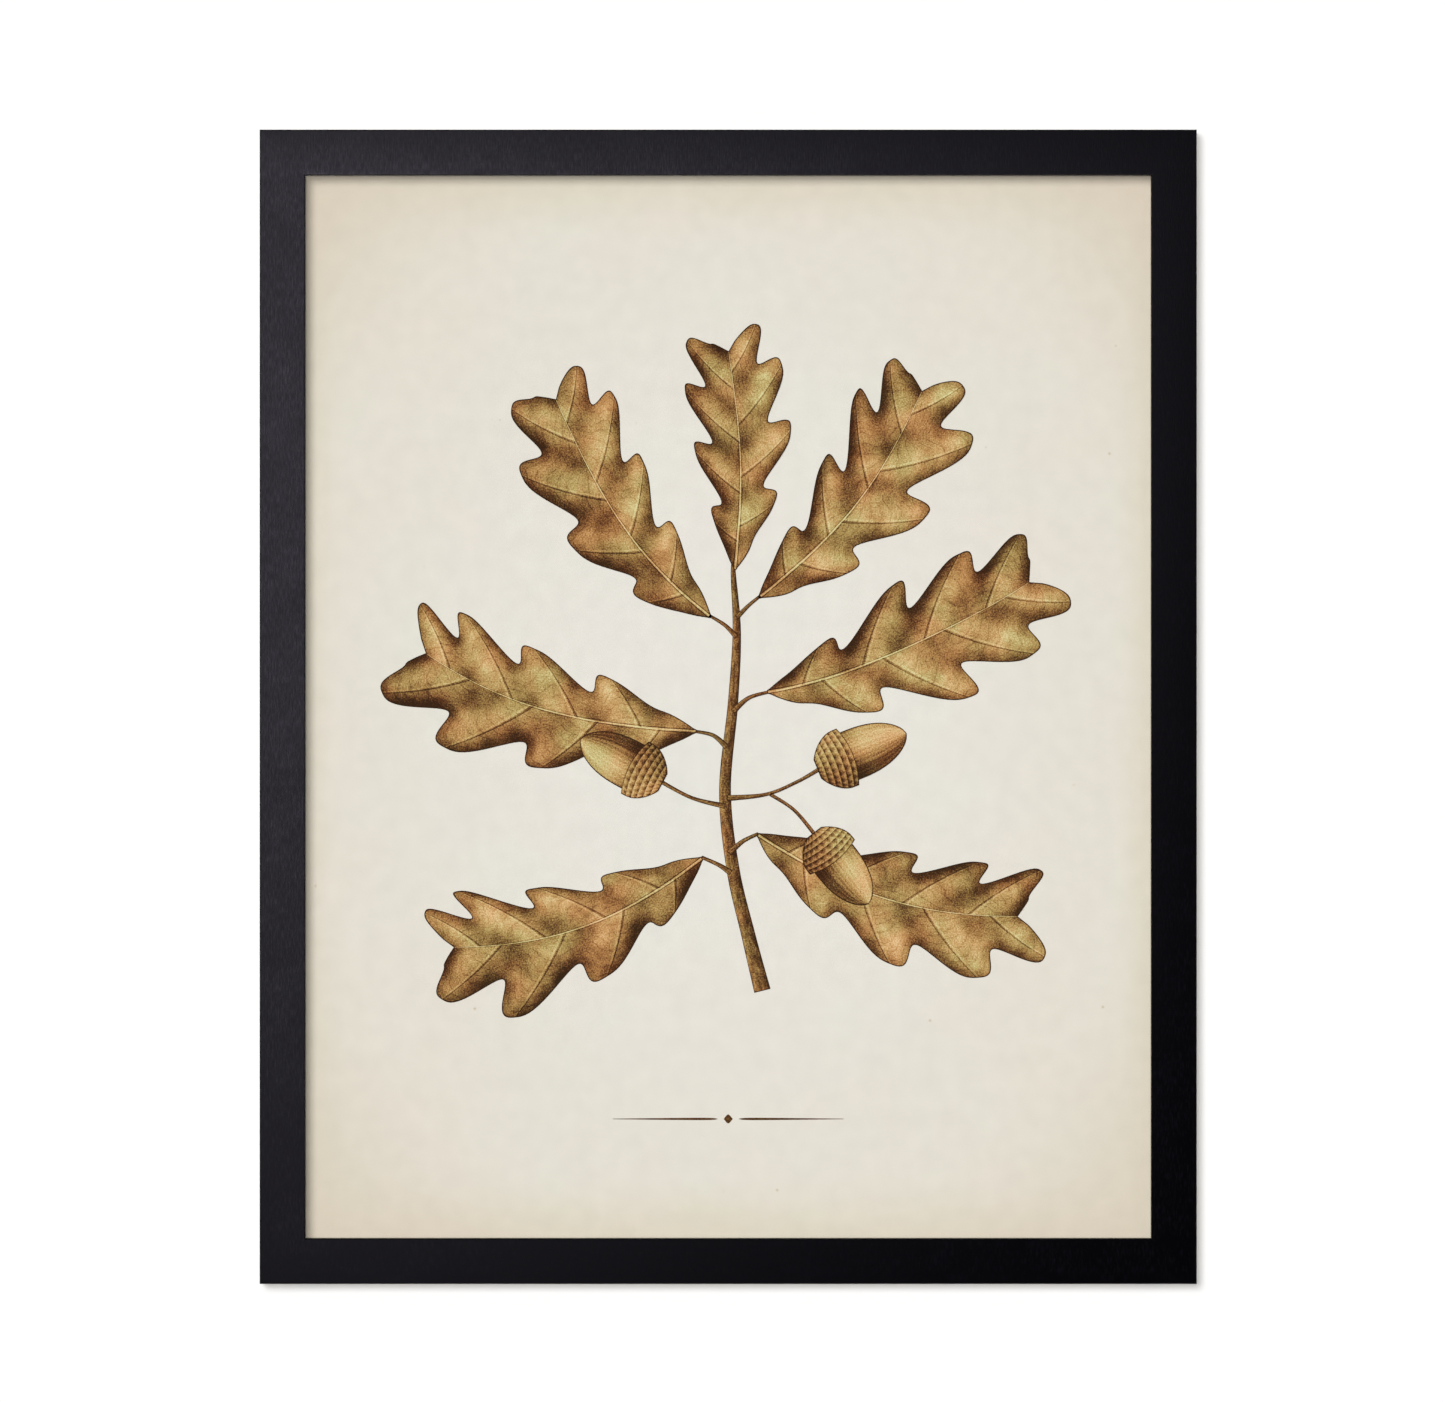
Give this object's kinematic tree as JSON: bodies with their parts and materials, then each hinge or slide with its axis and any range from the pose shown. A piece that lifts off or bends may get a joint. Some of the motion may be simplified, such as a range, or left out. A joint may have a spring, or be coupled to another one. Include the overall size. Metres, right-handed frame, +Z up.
{
  "type": "framed art print",
  "caption": "Upright wall frame of slim, flat-faced black wood moulding with clear glazing over an aged cream paper print, closed behind by a board under turn buttons.",
  "frame": {"origin": "the hanging point: the middle notch of the sawtooth hanger, in the plane of the wall", "axes": "+Z up along the frame's long side, +Y into the wall, so the print faces -Y, and +X to the right as the print is looked at"},
  "size_m": [0.4382, 0.0215, 0.5398],
  "materials": {
    "black_wood": "black stain under a satin lacquer, fine straight grain",
    "glazing": "clear acrylic sheet",
    "paper": "matt, cream, aged brown towards its edges, printed in ochre and brown",
    "foam_board": "matt white",
    "hardboard": "smooth brown hardboard",
    "zinc_steel": "bright zinc plate, stamped from sheet",
    "screw_steel": "bright zinc plate, turned",
    "bumper_rubber": "matt black"
  },
  "bodies": {
    "frame": {"rail_top": "black_wood", "rail_bottom": "black_wood", "rail_left": "black_wood", "rail_right": "black_wood", "glazing": "glazing", "print_sheet": "paper", "filler_board": "foam_board", "back_board": "hardboard", "button_screw_top_1": "screw_steel", "button_screw_top_2": "screw_steel", "button_screw_bottom_1": "screw_steel", "button_screw_bottom_2": "screw_steel", "button_screw_left_1": "screw_steel", "button_screw_left_2": "screw_steel", "button_screw_right_1": "screw_steel", "button_screw_right_2": "screw_steel", "sawtooth_hanger": "zinc_steel", "hanger_nail_1": "screw_steel", "hanger_nail_2": "screw_steel", "v_nail_top_left_1": "screw_steel", "v_nail_top_left_2": "screw_steel", "v_nail_top_right_1": "screw_steel", "v_nail_top_right_2": "screw_steel", "v_nail_bottom_left_1": "screw_steel", "v_nail_bottom_left_2": "screw_steel", "v_nail_bottom_right_1": "screw_steel", "v_nail_bottom_right_2": "screw_steel", "bumper_left": "bumper_rubber", "bumper_right": "bumper_rubber"},
    "button_top_1": {"turn_button_top_1": "zinc_steel"},
    "button_top_2": {"turn_button_top_2": "zinc_steel"},
    "button_bottom_1": {"turn_button_bottom_1": "zinc_steel"},
    "button_bottom_2": {"turn_button_bottom_2": "zinc_steel"},
    "button_left_1": {"turn_button_left_1": "zinc_steel"},
    "button_left_2": {"turn_button_left_2": "zinc_steel"},
    "button_right_1": {"turn_button_right_1": "zinc_steel"},
    "button_right_2": {"turn_button_right_2": "zinc_steel"}
  },
  "joints": [
    {"name": "turn_button_top_1", "type": "hinge", "parent": "frame", "child": "button_top_1", "pos_m": [-0.10955, -0.0037, 0.00385], "axis": [0, 1, 0], "continuous": true},
    {"name": "turn_button_top_2", "type": "hinge", "parent": "frame", "child": "button_top_2", "pos_m": [0.10955, -0.0037, 0.00385], "axis": [0, 1, 0], "continuous": true},
    {"name": "turn_button_bottom_1", "type": "hinge", "parent": "frame", "child": "button_bottom_1", "pos_m": [0.10955, -0.0037, -0.52165], "axis": [0, 1, 0], "continuous": true},
    {"name": "turn_button_bottom_2", "type": "hinge", "parent": "frame", "child": "button_bottom_2", "pos_m": [-0.10955, -0.0037, -0.52165], "axis": [0, 1, 0], "continuous": true},
    {"name": "turn_button_left_1", "type": "hinge", "parent": "frame", "child": "button_left_1", "pos_m": [-0.21195, -0.0037, -0.39385], "axis": [0, 1, 0], "continuous": true},
    {"name": "turn_button_left_2", "type": "hinge", "parent": "frame", "child": "button_left_2", "pos_m": [-0.21195, -0.0037, -0.12395], "axis": [0, 1, 0], "continuous": true},
    {"name": "turn_button_right_1", "type": "hinge", "parent": "frame", "child": "button_right_1", "pos_m": [0.21195, -0.0037, -0.12395], "axis": [0, 1, 0], "continuous": true},
    {"name": "turn_button_right_2", "type": "hinge", "parent": "frame", "child": "button_right_2", "pos_m": [0.21195, -0.0037, -0.39385], "axis": [0, 1, 0], "continuous": true}
  ]
}
